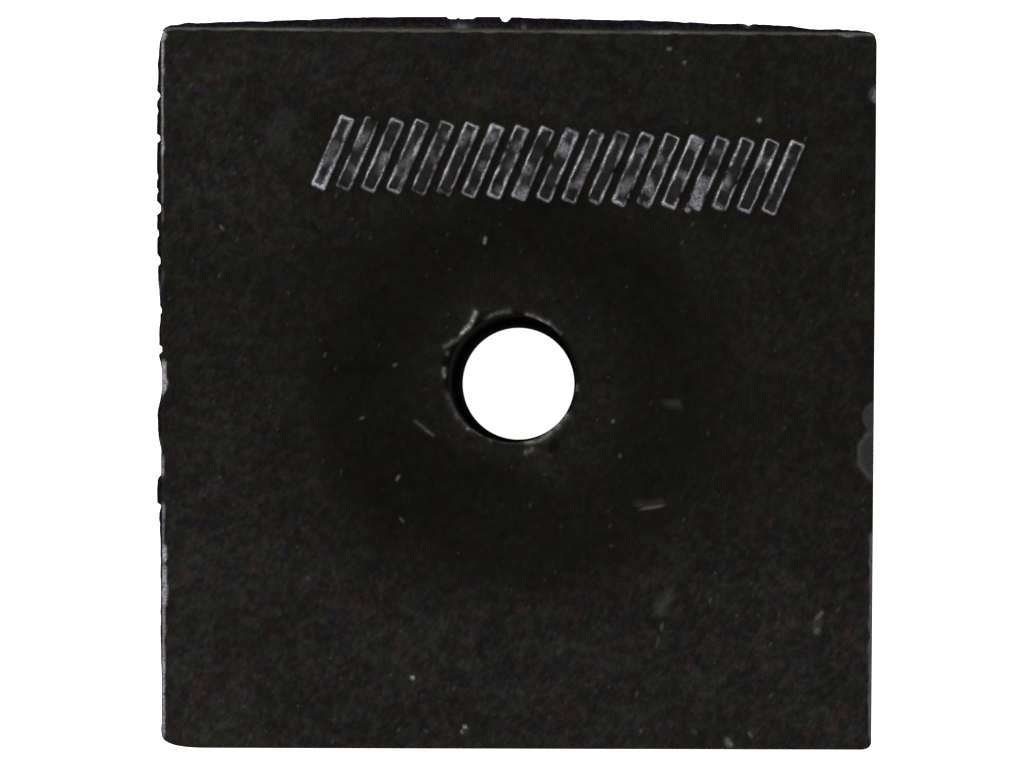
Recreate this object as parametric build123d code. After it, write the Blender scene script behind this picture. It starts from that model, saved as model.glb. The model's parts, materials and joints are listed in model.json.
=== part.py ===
from build123d import *
import math
import os

os.makedirs("parts", exist_ok=True)

# Driving dimensions, in millimetres and degrees.
# X runs to the right across the ribbed face, Y up it, and Z from the flat underside to that face.
# Near is the side at low Y and far the one at high Y.

# Block: the mould cavity narrows from the ribbed face to the underside, and the rubber swells a
# little half way down. The swell is at the ends of each side, and its middle bows out further.
FACE_WIDTH = 49.9
FACE_DEPTH = 50.3
THICKNESS = 25.0
UNDERSIDE_INSET = 0.4
WAIST_SWELL = 0.25
WAIST_BOW = 0.2
CORNER_RADIUS = 0.9
ARRIS_BEVEL = 0.15

# Flash: the thin lip that rubber squeezed out under the mould's lid left just below the ribbed
# face. It was trimmed flush on the near and right sides and roughly on the other two.
LIP_DROP = 0.2
LIP_THICKNESS = 0.45
# The lip of the far side is an arc: its reach at the left end, at the crest and at the right end.
FAR_LIP_START_REACH = 0.55
FAR_LIP_CREST_REACH = 1.1
FAR_LIP_END_REACH = 0.2
FAR_LIP_START = -24.2
FAR_LIP_CREST = -3.0
FAR_LIP_END = 23.8
# The lip of the left side is an even strip that stops below the middle.
LEFT_LIP_REACH = 0.42
LEFT_LIP_START = 24.4
LEFT_LIP_END = -7.9

# Places where the trimming tore the lip: the side, the distance along it from its middle
# (Y on the left side, X on the far one), and the width and depth of the tear.
TEARS = [
    ("left", 20.8, 0.5, 0.25),
    ("left", 19.7, 0.6, 0.25),
    ("left", 17.8, 0.7, 0.30),
    ("left", 12.6, 1.4, 0.20),
    ("left", 9.3, 1.0, 0.15),
    ("left", 5.5, 0.8, 0.35),
    ("left", 3.1, 1.2, 0.40),
    ("left", 0.7, 2.5, 0.55),
    ("left", -5.3, 1.5, 0.40),
    ("far", -4.1, 2.4, 0.20),
    ("far", -0.9, 0.7, 0.45),
    ("far", 16.2, 0.6, 0.15),
    ("far", 20.9, 1.6, 0.15),
]

# Bore for an M8 bolt, a little off the middle of the face.
BORE_DIAMETER = 9.0
BORE_X = -0.4
BORE_Y = 0.8
BORE_RIM_RADIUS = 0.3

# Raised grip ribs: one slanting row of plain parallel bars moulded on the upper face.
RIB_COUNT = 19
RIB_PITCH = 1.76
RIB_WIDTH = 0.95
RIB_LENGTH = 5.3
RIB_HEIGHT = 0.35
RIB_WALL_DRAFT = 15.0
RIB_LEAN = 20.0
ROW_X = 2.8
ROW_Y = 15.8
ROW_SLANT = -3.2

# How far one solid reaches into another where they are joined, or past a face where it cuts.
JOIN_DEPTH = 1.2

# Weight of the middle pole that makes a quarter turn of three poles a true arc.
ARC_WEIGHT = math.sqrt(0.5)


def outline_poles(growth, bow=0.0):
    """The block's outline at one level, anticlockwise, as a side of three poles and then a corner arc, four times.

    growth is what each side stands out past the ribbed face, and bow is what its middle adds to that.
    """
    half_width = FACE_WIDTH / 2 + growth
    half_depth = FACE_DEPTH / 2 + growth
    corners = [
        Vector(-half_width, -half_depth),
        Vector(half_width, -half_depth),
        Vector(half_width, half_depth),
        Vector(-half_width, half_depth),
    ]
    segments = []
    for index, start in enumerate(corners):
        end = corners[(index + 1) % 4]
        after = corners[(index + 2) % 4]
        along = (end - start).normalized()
        onward = (after - end).normalized()
        # The middle pole of a parabola lies twice as far out as its crest.
        crest_pole = (start + end) * 0.5 - onward * bow * 2
        side_end = end - along * CORNER_RADIUS
        segments.append([start + along * CORNER_RADIUS, crest_pole, side_end])
        segments.append([side_end, end, end + onward * CORNER_RADIUS])
    return segments


def lifted(poles, height):
    """The same poles at the given height."""
    return [pole + Vector(0, 0, height) for pole in poles]


def skin(rows, is_corner):
    """One patch of the block's skin through rows of poles; a corner patch is a true arc from side to side."""
    weight = ARC_WEIGHT if is_corner else 1.0
    return Face.make_bezier_surface(rows, [[1.0, weight, 1.0] for _ in rows])


def plain_block():
    """Flat faces with bevelled rims, and sides that run from one to the other as shallow parabolas."""
    upper = outline_poles(0)
    waist = outline_poles(WAIST_SWELL, WAIST_BOW)
    lower = outline_poles(-UNDERSIDE_INSET)
    rims = [
        (0, lower, outline_poles(-UNDERSIDE_INSET - ARRIS_BEVEL), ARRIS_BEVEL),
        (THICKNESS, upper, outline_poles(-ARRIS_BEVEL), THICKNESS - ARRIS_BEVEL),
    ]
    faces = []
    for index, rows in enumerate(zip(lower, waist, upper)):
        lower_row, waist_row, upper_row = rows
        # These poles send the parabola between the two rims through the waist.
        middle_row = []
        for low, middle, high in zip(lower_row, waist_row, upper_row):
            middle_row.append(middle * 2 - (low + high) * 0.5)
        poles = [
            lifted(lower_row, ARRIS_BEVEL),
            lifted(middle_row, THICKNESS / 2),
            lifted(upper_row, THICKNESS - ARRIS_BEVEL),
        ]
        faces.append(skin(poles, index % 2 == 1))
    for level, outer, inner, outer_level in rims:
        flat_edges = []
        for index, (outer_row, inner_row) in enumerate(zip(outer, inner)):
            bevel = skin([lifted(outer_row, outer_level), lifted(inner_row, level)], index % 2 == 1)
            faces.append(bevel)
            flat_edges.append(bevel.edges().sort_by(lambda edge: abs(edge.center().Z - level))[0])
        faces.append(Face(Wire(flat_edges)))
    return Solid(Shell(faces))


def lip_plate(edges):
    """A flat lip of the given outline at its place just below the ribbed face."""
    plate = extrude(make_face(Curve() + edges), LIP_THICKNESS)
    return Pos(0, 0, THICKNESS - LIP_DROP - LIP_THICKNESS) * plate


def far_lip():
    """The lip of the far side, its free edge an arc."""
    side = FACE_DEPTH / 2
    start = (FAR_LIP_START, side + FAR_LIP_START_REACH)
    crest = (FAR_LIP_CREST, side + FAR_LIP_CREST_REACH)
    end = (FAR_LIP_END, side + FAR_LIP_END_REACH)
    inside = side - JOIN_DEPTH
    arc = ThreePointArc(start, crest, end)
    rest = Polyline(end, (FAR_LIP_END, inside), (FAR_LIP_START, inside), start)
    return lip_plate([arc, rest])


def left_lip():
    """The lip of the left side, an even strip."""
    side = -FACE_WIDTH / 2
    outer = side - LEFT_LIP_REACH
    inside = side + JOIN_DEPTH
    ring = [(outer, LEFT_LIP_START), (outer, LEFT_LIP_END), (inside, LEFT_LIP_END), (inside, LEFT_LIP_START)]
    return lip_plate([Polyline(*ring, ring[0])])


def far_lip_reach(along):
    """Reach of the far lip at this X, from a parabola on each side of its crest."""
    if along < FAR_LIP_CREST:
        end = FAR_LIP_START
        end_reach = FAR_LIP_START_REACH
    else:
        end = FAR_LIP_END
        end_reach = FAR_LIP_END_REACH
    share = (along - FAR_LIP_CREST) / (end - FAR_LIP_CREST)
    return FAR_LIP_CREST_REACH - (FAR_LIP_CREST_REACH - end_reach) * share**2


def tear_cutter(side, along, width, depth):
    """A round scoop that takes a bite out of the free edge of a lip."""
    radius = (width * width / 4 + depth * depth) / (2 * depth)
    if side == "left":
        edge = -FACE_WIDTH / 2 - LEFT_LIP_REACH
        centre = (edge + depth - radius, along)
    else:
        edge = FACE_DEPTH / 2 + far_lip_reach(along)
        centre = (along, edge - depth + radius)
    return Pos(centre[0], centre[1], THICKNESS - LIP_DROP) * Cylinder(radius, LIP_THICKNESS * 3)


def bore_cutter():
    """What is taken out for the bore: a straight wall that opens into a rounded rim at each face."""
    wall = BORE_DIAMETER / 2
    mouth = wall + BORE_RIM_RADIUS
    bottom = -JOIN_DEPTH
    top = THICKNESS + JOIN_DEPTH
    # The point half way along each rim's quarter turn, seen from the wall and from its face.
    half_turn = BORE_RIM_RADIUS * (1 - ARC_WEIGHT)
    lower_middle = (wall + half_turn, half_turn)
    upper_middle = (wall + half_turn, THICKNESS - half_turn)
    profile = [
        Polyline((0, bottom), (mouth, bottom), (mouth, 0)),
        ThreePointArc((mouth, 0), lower_middle, (wall, BORE_RIM_RADIUS)),
        Line((wall, BORE_RIM_RADIUS), (wall, THICKNESS - BORE_RIM_RADIUS)),
        ThreePointArc((wall, THICKNESS - BORE_RIM_RADIUS), upper_middle, (mouth, THICKNESS)),
        Polyline((mouth, THICKNESS), (mouth, top), (0, top), (0, bottom)),
    ]
    return Pos(BORE_X, BORE_Y, 0) * revolve(Plane.XZ * make_face(Curve() + profile), Axis.Z)


def grip_ribs():
    """The row of plain parallel bars with drafted walls."""
    bar = Rectangle(RIB_WIDTH, RIB_LENGTH)
    ribs = []
    for index in range(RIB_COUNT):
        offset = (index - (RIB_COUNT - 1) / 2) * RIB_PITCH
        place = Pos(ROW_X, ROW_Y, THICKNESS) * Rot(0, 0, ROW_SLANT) * Pos(offset, 0, 0)
        outline = place * Rot(0, 0, -RIB_LEAN) * bar
        ribs.append(extrude(outline, RIB_HEIGHT, taper=RIB_WALL_DRAFT))
        ribs.append(extrude(outline, -JOIN_DEPTH))
    return ribs


def rubber_block():
    """One moulded solid, standing on the middle of its own bounding box."""
    lips = [far_lip(), left_lip()]
    cutters = [tear_cutter(*tear) for tear in TEARS]
    torn_lips = [lip - cutters for lip in lips]
    whole = plain_block() + torn_lips - bore_cutter() + grip_ribs()
    box = whole.bounding_box()
    middle = box.center()
    return Pos(-middle.X, -middle.Y, -box.min.Z) * whole


buffer_block = rubber_block()
export_step(buffer_block, "parts/buffer_block.step")
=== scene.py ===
import json
import math

import bpy
import numpy as np
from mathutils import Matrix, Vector, noise
from mathutils.geometry import delaunay_2d_cdt
from mathutils.kdtree import KDTree


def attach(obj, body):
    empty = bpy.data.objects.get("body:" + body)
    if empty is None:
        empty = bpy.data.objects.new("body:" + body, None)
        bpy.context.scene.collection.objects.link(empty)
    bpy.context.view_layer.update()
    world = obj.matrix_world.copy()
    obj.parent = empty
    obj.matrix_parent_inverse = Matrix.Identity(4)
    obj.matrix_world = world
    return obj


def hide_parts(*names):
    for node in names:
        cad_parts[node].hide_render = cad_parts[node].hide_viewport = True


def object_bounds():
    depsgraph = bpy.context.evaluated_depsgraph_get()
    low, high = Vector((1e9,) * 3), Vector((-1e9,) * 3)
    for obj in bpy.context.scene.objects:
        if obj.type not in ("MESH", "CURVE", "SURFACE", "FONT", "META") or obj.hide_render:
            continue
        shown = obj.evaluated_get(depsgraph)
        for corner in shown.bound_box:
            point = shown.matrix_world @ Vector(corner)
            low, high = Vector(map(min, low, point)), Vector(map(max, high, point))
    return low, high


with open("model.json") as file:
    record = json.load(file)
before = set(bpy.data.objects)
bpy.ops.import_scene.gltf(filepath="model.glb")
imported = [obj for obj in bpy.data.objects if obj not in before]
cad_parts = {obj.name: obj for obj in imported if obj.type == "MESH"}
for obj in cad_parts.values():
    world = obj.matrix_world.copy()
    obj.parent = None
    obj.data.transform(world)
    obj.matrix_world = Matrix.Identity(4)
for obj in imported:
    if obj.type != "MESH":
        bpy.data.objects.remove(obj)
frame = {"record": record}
cad_low, cad_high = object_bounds()

# Lengths are in millimetres, and places on the block count from the middle of its ribbed face:
# X to the right, Y up the photograph, and Z up from the underside.
# Heights named relief count from the ribbed face.
MM = 0.001

# The block, with the same sizes as its solid.
FACE_WIDTH = 49.9
FACE_DEPTH = 50.3
THICKNESS = 25.0
UNDERSIDE_INSET = 0.4
WAIST_SWELL = 0.25
WAIST_BOW = 0.2
CORNER_RADIUS = 0.9
BORE_X = -0.4
BORE_Y = 0.8
RIB_COUNT = 19
RIB_PITCH = 1.76
RIB_WIDTH = 0.95
RIB_LENGTH = 5.3
RIB_HEIGHT = 0.35
RIB_LEAN = 20.0
ROW_X = 2.8
ROW_Y = 15.8
ROW_SLANT = -3.2

# The bore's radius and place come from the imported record.
BORE_MOUNT = next(m for m in frame["record"]["mounts"] if m["name"] == "through_bore")
BORE_RADIUS = BORE_MOUNT["dims"]["r_mm"]
FACE_MIDDLE = (BORE_MOUNT["pos_m"][0] / MM - BORE_X, BORE_MOUNT["pos_m"][1] / MM - BORE_Y)

# Corners of the real face, a little out of square, anticlockwise from near left, and how far the
# rounding of each reaches back along one side and on along the next.
FACE_CORNERS = [
    (-24.97, -25.15, 0.9, 3.0),
    (24.82, -25.29, 0.8, 0.6),
    (25.22, 25.08, 0.9, 0.55),
    (-25.05, 25.47, 0.75, 0.75),
]
SIDES = ["near", "right", "far", "left"]

# Reach of the flash lip past the face's edge, as places along the side and the reach there.
LIP_REACH = {
    "near": [(-25, 0.0), (25, 0.0)],
    "right": [(-25, 0.0), (25, 0.0)],
    "far": [
        (-25, 0.1), (-23.4, 0.36), (-19.5, 0.47), (-15, 0.66), (-12.5, 0.79), (-8.3, 0.92),
        (-5.8, 0.95), (-2, 0.96), (1.2, 0.9), (6, 0.82), (8.2, 0.79), (13.5, 0.64),
        (17, 0.57), (19.2, 0.47), (20.6, 0.28), (24, 0.22), (25, 0.05),
    ],
    "left": [
        (-25, 0.0), (-23.9, 0.13), (-23.2, 0.08), (-20.4, 0.09), (-17.5, 0.17), (-14.7, 0.14),
        (-10.5, 0.15), (-9.5, 0.2), (-8.8, 0.26), (-8.1, 0.1), (-7.95, 0.37), (-6.2, 0.37),
        (-5.95, 0.1), (-4.2, 0.1), (-3.5, 0.25), (-2.8, 0.31), (-1.5, 0.34), (-0.7, 0.16),
        (0, 0.04), (1.5, 0.05), (2.3, 0.22), (3.9, 0.26), (4.9, 0.15), (6.3, 0.15),
        (7.9, 0.28), (10, 0.36), (16, 0.38), (20, 0.34), (23.2, 0.27), (24.3, 0.18), (25, 0.0),
    ],
}

# Tears in the lip of each side: the place along it, and the width and depth.
TEARS = {
    "left": [
        (20.7, 0.45, 0.2), (19.65, 0.35, 0.1), (17.7, 0.5, 0.24), (15.0, 0.3, 0.08),
        (14.0, 0.35, 0.1), (12.8, 0.7, 0.3), (11.0, 0.5, 0.12), (9.1, 0.6, 0.16),
        (5.6, 0.4, 0.14), (2.85, 0.4, 0.3),
    ],
    "far": [(-4.6, 0.7, 0.17), (-3.6, 1.1, 0.15), (-0.9, 0.55, 0.32), (16.2, 0.3, 0.1)],
}
# How far a tear may bite into the block itself.
DEEPEST_BITE = 0.12

# Pale marks on the lip of each side: the place along it, half the length, the share of the lip's
# reach where the mark lies, and its strength.
LIP_MARKS = {
    "far": [(-4.05, 0.5, 0.25, 0.16), (0.4, 0.12, 0.2, 0.14), (16.1, 0.25, 0.85, 0.12)],
    "left": [(7.2, 0.35, 0.6, 0.12), (-3.6, 0.25, 0.6, 0.1)],
}

# Pale wear along the edge of the face, for each side: where it starts and ends, how far it reaches
# in from the edge, and its strength.
EDGE_WEAR = {
    "left": [
        (24.5, 25.5, 0.35, 0.55), (22.0, 24.5, 0.16, 0.44), (18.0, 22.0, 0.13, 0.34),
        (16.3, 18.0, 0.15, 0.44), (13.2, 16.3, 0.13, 0.18), (11.8, 12.8, 0.16, 0.1),
        (7.3, 8.4, 0.2, 0.04), (-0.3, 2.0, 0.32, 0.6), (-6.0, -4.7, 0.16, 0.42),
        (-9.2, -8.0, 0.24, 0.2), (-10.9, -9.2, 0.16, 0.22), (-12.1, -10.9, 0.28, 0.7),
        (-15.3, -12.3, 0.34, 0.42), (-17.5, -15.3, 0.2, 0.3), (-24.3, -17.5, 0.18, 0.42),
    ],
    "far": [
        (-25.0, 25.0, 0.19, 0.095), (-21.0, -15.0, 0.16, 0.15), (9.5, 11.5, 0.2, 0.2),
        (22.5, 24.8, 0.24, 0.14),
    ],
    "right": [(-24.5, -10.0, 0.24, 0.1), (20.2, 21.2, 0.3, 0.2)],
}
# How deep the edge is chipped where its wear is widest and strongest.
CHIP_DEPTH = 0.1

# Small pale marks on the face: X, Y, length, width, turn in degrees and strength.
MARKS = [
    (9.41, -8.25, 1.6, 0.17, 9, 0.13), (-2.32, 10.5, 0.5, 0.15, 80, 0.42),
    (10.1, -16.6, 0.6, 0.2, 80, 0.075), (9.8, -17.7, 0.8, 0.16, 75, 0.04),
    (21.15, -15.85, 0.8, 0.28, 50, 0.11), (21.0, -16.9, 0.5, 0.35, 60, 0.1),
    (-8.43, -6.18, 0.45, 0.16, 60, 0.16), (-8.15, -9.13, 0.45, 0.16, -50, 0.09),
    (-8.64, 1.76, 0.35, 0.15, 30, 0.105), (-13.55, 2.46, 0.35, 0.14, 70, 0.07),
    (-10.96, -1.97, 0.35, 0.14, 20, 0.12), (-7.4, -20.2, 0.3, 0.24, 0, 0.4),
    (-3.72, -23.67, 0.3, 0.22, 0, 0.45), (-3.95, -24.0, 0.2, 0.2, 0, 0.25),
    (11.9, 12.65, 0.3, 0.26, 40, 0.6), (16.95, 18.95, 0.3, 0.26, 40, 0.28),
    (10.6, 23.95, 0.35, 0.2, 20, 0.18), (11.7, 23.0, 0.3, 0.18, 60, 0.15),
    (-20.8, 11.4, 0.45, 0.16, -50, 0.12), (6.67, -2.2, 0.3, 0.2, 45, 0.12),
    (7.16, -4.63, 0.3, 0.2, 80, 0.07), (13.5, -14.8, 0.45, 0.16, 85, 0.065),
    (6.55, -10.95, 0.3, 0.16, 0, 0.04), (16.3, -24.2, 0.45, 0.16, -70, 0.14),
    (14.75, -24.75, 0.65, 0.34, 100, 0.16), (14.95, -24.9, 0.3, 0.3, 0, 0.2),
    (-18.8, -24.3, 0.45, 0.2, 60, 0.045), (8.6, -23.95, 0.35, 0.2, 80, 0.065),
    (12.4, -24.0, 0.45, 0.2, -40, 0.03), (-6.5, -23.95, 0.3, 0.25, 0, 0.04),
]

# Scratches and torn skin round the mouth of the bore: the points of each, its width and strength.
SCRATCHES = [
    ([(-2.98, 5.48), (-3.37, 4.6), (-3.93, 3.9)], 0.2, 0.5),
    ([(-3.93, 3.86), (-4.78, 3.30), (-5.09, 3.05)], 0.26, 0.09),
    ([(-4.96, 2.65), (-4.98, 2.5)], 0.2, 0.07),
    ([(-5.18, 1.47), (-5.18, 0.91)], 0.2, 0.22),
    ([(-4.87, -0.35), (-4.28, -1.69), (-3.48, -2.71)], 0.34, 0.07),
    ([(-3.56, -2.66), (-3.44, -2.72)], 0.22, 0.3),
    ([(-3.2, -2.75), (-2.4, -3.05), (-1.87, -3.4)], 0.3, 0.15),
    ([(-1.87, -3.4), (-0.9, -3.66), (0.4, -3.68)], 0.22, 0.07),
    ([(0.5, -3.7), (1.1, -3.68), (1.62, -3.5)], 0.18, 0.24),
    ([(0.6, -4.4), (0.95, -4.15)], 0.26, 0.14),
    ([(1.8, -3.3), (2.6, -2.68), (3.4, -1.75)], 0.3, 0.2),
    ([(4.1, 0.4), (4.1, 0.0)], 0.14, 0.14),
    ([(-2.13, 5.03), (-1.33, 5.4), (-0.61, 5.5)], 0.3, 0.1),
    ([(0.63, 5.3), (1.54, 4.95), (2.2, 4.6)], 0.22, 0.22),
    ([(1.45, 4.95), (1.65, 4.87)], 0.18, 0.45),
    ([(2.32, 4.59), (2.97, 3.96)], 0.22, 0.08),
    ([(-7.2, -2.2), (-5.97, -3.2)], 0.2, 0.07),
]
# The last scratch lies away from the mouth and needs close points: X, Y, length, width and turn.
SCRATCH_PATCH = (-6.6, -2.7, 1.8, 0.5, -40)

# Soft scuffs: X, Y, half length, half width, turn in degrees, strength, and strength of the outline.
SCUFFS = [
    (25.2, -4.56, 1.85, 1.36, 90, 0.028, 0.045),
    (25.0, -1.9, 1.0, 0.8, 84, 0.034, 0.02),
    (25.2, 20.8, 0.6, 0.6, 90, 0.045, 0.02),
    (9.23, -8.0, 1.15, 0.26, 4, 0.025, 0.0),
    (10.25, -14.9, 0.75, 0.28, 55, 0.036, 0.0),
    (21.05, -16.4, 0.8, 0.4, 80, 0.025, 0.0),
    (-16.6, 18.4, 1.6, 0.9, 60, 0.01, 0.0),
    (11.0, -0.9, 0.5, 0.3, 10, 0.03, 0.0),
    (2.2, -4.9, 0.5, 0.25, 50, 0.02, 0.0),
]

# Dark dents: X, Y, half length, half width and turn in degrees.
DENTS = [(2.55, -3.95, 0.7, 0.42, 62)]

# How light the plain rubber of each part is, where 1 is the rubber's own colour.
FACE_TONE = 0.83
LIP_TONE = 0.75
SIDE_TONE = 0.85
WALL_TONE = 0.5
UNDERSIDE_TONE = 0.95

# How much lighter the face grows towards its near side and its left, and how much darker towards its right
# and the middle of its left.
NEAR_LIGHTENING = 0.2
LEFT_LIGHTENING = 0.14
RIGHT_SHADE = 0.1
LEFT_SHADE = 0.14

# Painted reflection of the camera round the bore: a dark ring with a dark haze outside it and a
# paler painted sheen inside it. The ring is fainter towards the near right.
REFLECTION_X = 0.0
REFLECTION_Y = 0.2
REFLECTION_OUTER = 13.8
REFLECTION_INNER = 7.6
REFLECTION_SHADE = 0.5
REFLECTION_FADE = 0.12
REFLECTION_HAZE_WIDTH = 7.0
REFLECTION_HAZE_SHADE = 0.14
INNER_SHEEN = 0.85

# How much darker the rubber over the row of ribs is, and a dent.
ROW_SHADE = 0.22
DENT_SHADE = 0.65

# Where the painted shade in the bore's mouth is deepest, its skin broken away, in degrees round from the
# right.
SHADED_MOUTH_TURN = 138

# Samples of the outline along each side and round each corner, and about how far apart they lie.
SIDE_SAMPLES = 300
CORNER_SAMPLES = 14
SAMPLE_SPACING = 0.15

# Rings of the face: how far in from the edge each lies. The last one dips a little.
FACE_INSETS = (1.25, 1.12, 0.99, 0.86, 0.73, 0.6, 0.48, 0.37, 0.27, 0.19, 0.12, 0.06)
EDGE_DIP = 0.015

# Rings over the edge of the face: the offset from it, the relief, the shares of the edge's wear
# and of the face's tone, and how far the lip's colour shows.
EDGE_SECTION = [
    (-0.02, -0.05, 0.8, 1.0, 0.0),
    (0.0, -0.12, 0.6, 0.7, 0.2),
]

# Rings of the lip, from its root out over its free edge and back to the side: the share of its
# reach, the relief, and how far the lip's colour shows.
LIP_SECTION = [
    (0.2, -0.15, 0.35), (0.4, -0.16, 0.45), (0.6, -0.17, 0.7),
    (0.85, -0.2, 0.8), (1.0, -0.27, 1.0), (1.0, -0.42, 1.0),
    (0.85, -0.56, 1.0), (0.3, -0.64, 0.9), (0.0, -0.7, 0.8),
]
# The relief above which a ring is on the lip's upper face.
LIP_TOP = -0.25
# What keeps the lip's rings off the face's edge where the lip is trimmed away.
LIP_CLEARANCE = 0.004
# The left lip shows its colour more strongly than the far one.
LEFT_LIP_STRENGTH = 1.3

# Heights of the rings on the sides, and the rings of the underside's rim: how far in from its edge
# each lies, its height and its pale wear.
SIDE_HEIGHTS = (
    24.1, 23.7, 23.0, 22.0, 20.5, 19.0, 17.0, 15.0, 13.0, 11.0,
    9.0, 7.0, 5.0, 3.4, 2.2, 1.3, 0.7, 0.35, 0.14,
)
UNDERSIDE_RINGS = [
    (0.03, 0.05, 0.12),
    (0.12, 0.0, 0.0),
    (0.5, 0.0, 0.0),
]

# Rings of the bore's mouth: how far out from its wall each lies, and the relief.
MOUTH_SECTION = [
    (1.5, 0.0), (1.35, 0.0), (1.2, 0.0), (1.08, 0.0), (0.97, 0.0), (0.86, 0.0),
    (0.76, 0.0), (0.66, 0.0), (0.56, 0.0), (0.47, 0.0), (0.38, -0.002), (0.29, -0.006),
    (0.21, -0.018), (0.13, -0.05), (0.06, -0.11), (0.02, -0.18), (0.0, -0.3),
]
# Where the mouth ends, the depths of the rings on the wall below it, and the points of each ring.
MOUTH_END = -0.4
WALL_DEPTHS = (0.5, 0.9, 1.6, 3, 5, 8, 11, 14, 17, 20, 22.5, 24)
BORE_COLUMNS = 360

# Rings of a rib, from its foot to its top: how far out from its outline each lies, and the relief.
RIB_SECTION = [
    (0.2, 0.0), (0.1, 0.01), (0.04, 0.03), (0.0, 0.08), (-0.04, 0.2),
    (-0.08, 0.29), (-0.13, 0.33), (-0.2, 0.335), (-0.3, 0.34),
]
RIB_TOP_RELIEF = 0.33
RIB_TOP_GROWTH = -0.4
RIB_CORNER_RADIUS = 0.14
RIB_CORNER_POINTS = 5
RIB_POINT_STEP = 0.14

# Points that fill the sheets, closest over the marks: their step, how far they keep from the face's
# edge and from the bore's wall, and their least gap from points that are there already.
FINE_STEP = 0.1
FINE_MARGINS = (1.3, 1.55)
FINE_GAP = 0.06
COARSE_STEP = 0.55
COARSE_MARGINS = (1.5, 1.7)
COARSE_GAP = 0.33
UNDERSIDE_STEP = 1.6
UNDERSIDE_MARGINS = (1.8, 2.2)

# A sheet is triangulated inside its given edges, with points closer than this taken as one.
INSIDE_EDGES = 1
SAME_PLACE = 1e-7

# The block's two finishes: its skin and the wall of its bore.
RUBBER_SLOT = 0
BORE_SLOT = 1

# Colours, as linear red, green and blue, and an alpha for all but the wall's.
GREENISH_BLACK = (0.0125, 0.0131, 0.01, 1)
REDDISH_BLACK = (0.0156, 0.0109, 0.0099, 1)
VIOLET_BLACK = (0.0124, 0.0112, 0.0126, 1)
WALL_BLACK = (0.019, 0.0185, 0.017)
DUST = (0.07, 0.072, 0.066, 1)
# The brown of the lip's root is painted light from the side.
PAINTED_LIGHT_LIP_ROOT_BROWN = (0.0098, 0.0072, 0.0058, 1)
LIP_VIOLET = (0.0042, 0.0034, 0.0045, 1)
LIP_BLUE = (0.0062, 0.005, 0.0118, 1)
LIP_EDGE_BLACK = (0.001, 0.0008, 0.0025, 1)
BLUISH_CHALK = (0.54, 0.53, 0.59, 1)
CREAMY_CHALK = (0.55, 0.545, 0.47, 1)
GROUND_WHITE = (0.8, 0.8, 0.8, 1)
WHITE = (1, 1, 1, 1)
# What the darkest rubber is multiplied by, which makes it a little greener.
DARK_TINT = (1, 1, 0.62, 1)

# Mottling, from broad clouds down to short streaks and grain: the size of its features, their
# stretch and turn in degrees, and the darkest and lightest factor.
MOTTLE_LAYERS = [
    (5.0, (1, 1, 1), 0, 0.86, 1.14),
    (0.75, (1, 1, 5), 0, 0.76, 1.32),
    (0.3, (1.7, 1, 1), 60, 0.78, 1.33),
    (0.17, (1, 1, 1), 0, 0.94, 1.07),
]
DUST_STRENGTH = 0.42
BUMP_STRENGTH = 0.32
BUMP_HEIGHT = 0.03

# The ground's half width and how far it lies below the block, both in metres.
GROUND_HALF_WIDTH = 1.2
GROUND_GAP = 0.00002

# Soft lights: the place and size in metres, and the power. The light from all round is extra.
LIGHTS = [
    ("key_light", (-0.45, 0.35, 0.5), 0.3, 4.0),
    ("fill_light", (0.5, -0.35, 0.45), 0.4, 2.5),
]
SURROUND_STRENGTH = 0.4

# The camera looks straight down from beside the middle, as far away as the bore's two rims show.
CAMERA_DISTANCE = 161.6
CAMERA_X = 2.95
CAMERA_Y = -1.97
VIEW_WIDTH = 71.9
SENSOR_WIDTH = 36.0
IMAGE_WIDTH = 1024
# The pixel that the camera stands over, counted right of and below the image's middle.
FOOT_RIGHT = 48
FOOT_DOWN = 34


def rise(low, high, value):
    """0 below low and 1 above high, with a smooth rise between; low may be above high."""
    share = np.clip((value - low) / (high - low), 0, 1)
    return share * share * (3 - 2 * share)


def wobble(x, y, scale, seed):
    """Smooth noise from about -1 to 1 over points, with features about scale across."""
    shift = 37.7 * seed
    values = [noise.noise(Vector((u / scale + shift, v / scale - shift, shift))) for u, v in zip(x, y)]
    return np.array(values) * 1.6


def unit(vector):
    """The same direction at a length of 1."""
    return vector / np.linalg.norm(vector)


def turned(x, y, degrees):
    """Coordinates along and across a direction."""
    angle = math.radians(degrees)
    return x * math.cos(angle) + y * math.sin(angle), -x * math.sin(angle) + y * math.cos(angle)


def oval_distance(x, y, middle_x, middle_y, half_length, half_width, turn):
    """How far points lie from the middle of an oval, where its edge is at 1."""
    along, across = turned(x - middle_x, y - middle_y, turn)
    return np.hypot(along / half_length, across / half_width)


def corner_curve(before, corner, after):
    """Samples of the rounding from the end of one side to the start of the next."""
    share = np.linspace(0, 1, CORNER_SAMPLES, endpoint=False)[:, None]
    return before * (1 - share) ** 2 + corner * 2 * share * (1 - share) + after * share**2


def outline(corners):
    """One closed outline through corners, which are X, Y and the two reaches of the rounding.

    The same sample of two outlines lies at the same place of the same side.
    """
    points = []
    count = len(corners)
    for index, corner in enumerate(corners):
        next_corner = corners[(index + 1) % count]
        start = np.array(corner[:2])
        end = np.array(next_corner[:2])
        along = unit(end - start)
        onward = unit(np.array(corners[(index + 2) % count][:2]) - end)
        first = start + along * corner[3]
        last = end - along * next_corner[2]
        share = np.linspace(0, 1, SIDE_SAMPLES, endpoint=False)[:, None]
        points.append(first + (last - first) * share)
        points.append(corner_curve(last, end, end + onward * next_corner[3]))
    return np.vstack(points)


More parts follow.
